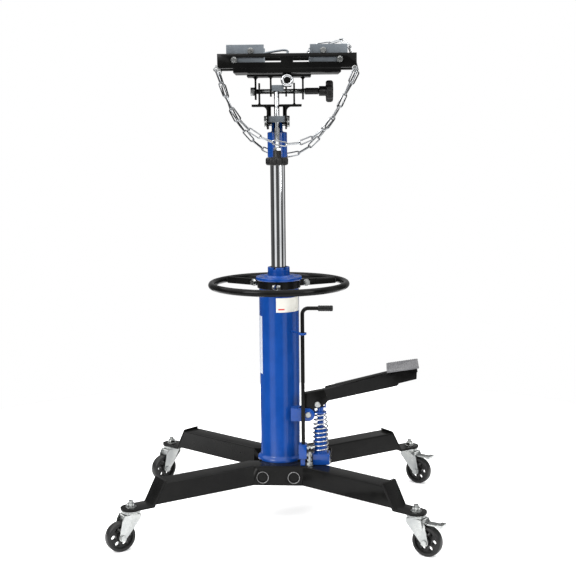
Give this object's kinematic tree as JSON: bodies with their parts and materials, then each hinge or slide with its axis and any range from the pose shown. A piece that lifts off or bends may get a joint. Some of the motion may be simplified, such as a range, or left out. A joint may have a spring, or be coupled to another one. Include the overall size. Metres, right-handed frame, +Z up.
{
  "type": "two-stage hydraulic transmission jack",
  "caption": "Pedal-pumped two-stage hydraulic jack on four castors, its chromed ram part raised under a tilting slotted saddle with corner brackets and two hanging retaining chains.",
  "frame": {"origin": "middle of the whole jack's ground outline, on the floor under the castors", "axes": "+Z up, +X towards the foot pedal, -Y towards the saddle's tilt screw"},
  "size_m": [0.7602, 0.6039, 1.126],
  "materials": {
    "black_powder_coat": "gloss black powder coat",
    "blue_paint": "gloss royal blue enamel",
    "hard_chrome": "polished hard chrome",
    "bright_zinc": "bright zinc plate",
    "grey_zinc": "dull dark zinc plate",
    "black_nylon": "moulded nylon",
    "pad_rubber": "checkered rubber",
    "spring_steel": "bright spring wire"
  },
  "bodies": {
    "base": {"front_leg_tube": "black_powder_coat", "rear_leg_tube": "black_powder_coat", "base_plate": "black_powder_coat", "left_cross_tube": "black_powder_coat", "right_cross_tube": "black_powder_coat", "front_left_castor_plate": "black_powder_coat", "front_right_castor_plate": "black_powder_coat", "rear_left_castor_plate": "black_powder_coat", "rear_right_castor_plate": "black_powder_coat", "column_tube": "blue_paint", "column_head": "blue_paint", "hoop_collar": "black_powder_coat", "steering_hoop": "black_powder_coat", "right_hoop_spoke": "black_powder_coat", "left_hoop_spoke": "black_powder_coat", "front_hoop_spoke": "black_powder_coat", "pump_body": "blue_paint", "valve_block": "blue_paint", "pedal_lug": "blue_paint", "pedal_pivot_pin": "bright_zinc", "rod_guide": "blue_paint"},
    "first_stage": {"first_stage_tube": "hard_chrome", "first_stage_nut": "blue_paint"},
    "second_stage": {"second_stage_ram": "hard_chrome"},
    "head": {"saddle_socket": "blue_paint", "lower_yoke": "black_powder_coat", "yoke_pin": "bright_zinc", "trunnion_block": "grey_zinc"},
    "pitch_nut": {"upper_trunnion": "grey_zinc"},
    "pitch_drive": {"pitch_screw": "hard_chrome", "pitch_knob": "black_nylon"},
    "side_drive": {"side_screw": "bright_zinc", "side_knob": "black_nylon"},
    "tilt_frame": {"upper_yoke": "black_powder_coat", "roll_pin": "hard_chrome"},
    "saddle": {"saddle_plate": "black_powder_coat", "front_saddle_rail": "black_powder_coat", "rear_saddle_rail": "black_powder_coat"},
    "front_chain_body": {"front_chain": "hard_chrome"},
    "rear_chain_body": {"rear_chain": "hard_chrome"},
    "pedal": {"pedal_lever": "black_powder_coat", "pedal_pad": "pad_rubber"},
    "piston": {"pump_piston": "blue_paint", "return_spring": "spring_steel"},
    "release": {"release_rod": "black_powder_coat", "release_grip": "black_nylon"},
    "front_left_bracket_body": {"front_left_bracket": "grey_zinc"},
    "front_left_fork_body": {"front_left_fork": "bright_zinc"},
    "front_left_wheel_body": {"front_left_wheel": "black_nylon"},
    "front_right_bracket_body": {"front_right_bracket": "grey_zinc"},
    "front_right_fork_body": {"front_right_fork": "bright_zinc"},
    "front_right_wheel_body": {"front_right_wheel": "black_nylon"},
    "rear_left_bracket_body": {"rear_left_bracket": "grey_zinc"},
    "rear_left_fork_body": {"rear_left_fork": "bright_zinc"},
    "rear_left_wheel_body": {"rear_left_wheel": "black_nylon"},
    "rear_right_bracket_body": {"rear_right_bracket": "grey_zinc"},
    "rear_right_fork_body": {"rear_right_fork": "bright_zinc"},
    "rear_right_wheel_body": {"rear_right_wheel": "black_nylon"},
    "front_right_brake_body": {"front_right_brake": "bright_zinc"},
    "rear_right_brake_body": {"rear_right_brake": "bright_zinc"}
  },
  "joints": [
    {"name": "first_stage_lift", "type": "slide", "parent": "base", "child": "first_stage", "axis": [0, 0, 1], "range_m": [0, 0.36]},
    {"name": "second_stage_lift", "type": "slide", "parent": "first_stage", "child": "second_stage", "axis": [0, 0, 1], "range_m": [-0.25, 0.105]},
    {"name": "head_swivel", "type": "hinge", "parent": "second_stage", "child": "head", "pos_m": [-0.01, -0.0115, 0.9], "axis": [0, 0, 1], "continuous": true},
    {"name": "saddle_pitch", "type": "hinge", "parent": "head", "child": "tilt_frame", "pos_m": [-0.01, -0.0115, 1.023], "axis": [0.9972, 0.075, 0], "range_deg": [-7, 7]},
    {"name": "pitch_nut_travel", "type": "slide", "parent": "head", "child": "pitch_nut", "axis": [0, 0, 1], "range_m": [-0.007, 0.007]},
    {"name": "pitch_knob_turn", "type": "hinge", "parent": "pitch_nut", "child": "pitch_drive", "pos_m": [-0.00603, -0.06435, 0.872], "axis": [0, 0, 1], "range_deg": [-800, 800]},
    {"name": "saddle_roll", "type": "hinge", "parent": "tilt_frame", "child": "saddle", "pos_m": [0.01443, -0.00966, 1.046], "axis": [-0.075, 0.9972, 0], "range_deg": [-2, 2]},
    {"name": "side_knob_turn", "type": "hinge", "parent": "head", "child": "side_drive", "pos_m": [-0.01, -0.0115, 1.023], "axis": [0.9972, 0.075, 0], "range_deg": [-200, 200]},
    {"name": "front_left_bracket_slide", "type": "slide", "parent": "saddle", "child": "front_left_bracket_body", "axis": [0.9972, 0.075, 0], "range_m": [-0.006, 0.03]},
    {"name": "front_right_bracket_slide", "type": "slide", "parent": "saddle", "child": "front_right_bracket_body", "axis": [-0.9972, -0.075, 0], "range_m": [-0.006, 0.03]},
    {"name": "rear_left_bracket_slide", "type": "slide", "parent": "saddle", "child": "rear_left_bracket_body", "axis": [0.9972, 0.075, 0], "range_m": [-0.006, 0.03]},
    {"name": "rear_right_bracket_slide", "type": "slide", "parent": "saddle", "child": "rear_right_bracket_body", "axis": [-0.9972, -0.075, 0], "range_m": [-0.006, 0.03]},
    {"name": "front_chain_swing", "type": "hinge", "parent": "saddle", "child": "front_chain_body", "pos_m": [0.02069, -0.09293, 1.07], "axis": [-0.9972, -0.075, 0], "range_deg": [0, 30]},
    {"name": "rear_chain_swing", "type": "hinge", "parent": "saddle", "child": "rear_chain_body", "pos_m": [0.00817, 0.0736, 1.07], "axis": [0.9972, 0.075, 0], "range_deg": [0, 30]},
    {"name": "pedal_hinge", "type": "hinge", "parent": "base", "child": "pedal", "pos_m": [0.061, -0.0585, 0.267], "axis": [0, 1, 0], "range_deg": [0, 35], "stiffness_Nm_per_rad": 12, "springref_deg": -20.05},
    {"name": "piston_travel", "type": "slide", "parent": "base", "child": "piston", "axis": [0, 0, 1], "range_m": [-0.018, 0], "deforming": ["return_spring"]},
    {"name": "release_turn", "type": "hinge", "parent": "base", "child": "release", "pos_m": [0.0495, -0.0805, 0.21], "axis": [0, 0, 1], "range_deg": [-45, 45]},
    {"name": "front_left_swivel", "type": "hinge", "parent": "base", "child": "front_left_fork_body", "pos_m": [-0.32969, -0.25691, 0.09], "axis": [0, 0, 1], "continuous": true},
    {"name": "front_left_axle", "type": "hinge", "parent": "front_left_fork_body", "child": "front_left_wheel_body", "pos_m": [-0.35234, -0.27337, 0.0345], "axis": [0.5878, -0.809, 0], "continuous": true},
    {"name": "front_right_swivel", "type": "hinge", "parent": "base", "child": "front_right_fork_body", "pos_m": [0.30969, -0.25691, 0.09], "axis": [0, 0, 1], "continuous": true},
    {"name": "front_right_axle", "type": "hinge", "parent": "front_right_fork_body", "child": "front_right_wheel_body", "pos_m": [0.33418, -0.27048, 0.0345], "axis": [0.4848, 0.8746, 0], "continuous": true},
    {"name": "front_right_brake_hinge", "type": "hinge", "parent": "front_right_fork_body", "child": "front_right_brake_body", "pos_m": [0.33068, -0.26854, 0.0765], "axis": [0.4848, 0.8746, 0], "range_deg": [0, 4]},
    {"name": "rear_left_swivel", "type": "hinge", "parent": "base", "child": "rear_left_fork_body", "pos_m": [-0.32969, 0.27891, 0.09], "axis": [0, 0, 1], "continuous": true},
    {"name": "rear_left_axle", "type": "hinge", "parent": "rear_left_fork_body", "child": "rear_left_wheel_body", "pos_m": [-0.34914, 0.25877, 0.0345], "axis": [0.7193, -0.6947, 0], "continuous": true},
    {"name": "rear_right_swivel", "type": "hinge", "parent": "base", "child": "rear_right_fork_body", "pos_m": [0.30969, 0.27891, 0.09], "axis": [0, 0, 1], "continuous": true},
    {"name": "rear_right_axle", "type": "hinge", "parent": "rear_right_fork_body", "child": "rear_right_wheel_body", "pos_m": [0.33317, 0.26366, 0.0345], "axis": [0.5446, 0.8387, 0], "continuous": true},
    {"name": "rear_right_brake_hinge", "type": "hinge", "parent": "rear_right_fork_body", "child": "rear_right_brake_body", "pos_m": [0.32982, 0.26584, 0.0765], "axis": [0.5446, 0.8387, 0], "range_deg": [0, 4]}
  ],
  "couplings": [
    {"joint": "pitch_nut_travel", "follows": "saddle_pitch", "m_per_rad": -0.053},
    {"joint": "pitch_knob_turn", "follows": "saddle_pitch", "ratio": 111},
    {"joint": "side_knob_turn", "follows": "saddle_roll", "ratio": 96},
    {"joint": "piston_travel", "follows": "pedal_hinge", "m_per_rad": -0.0285}
  ]
}
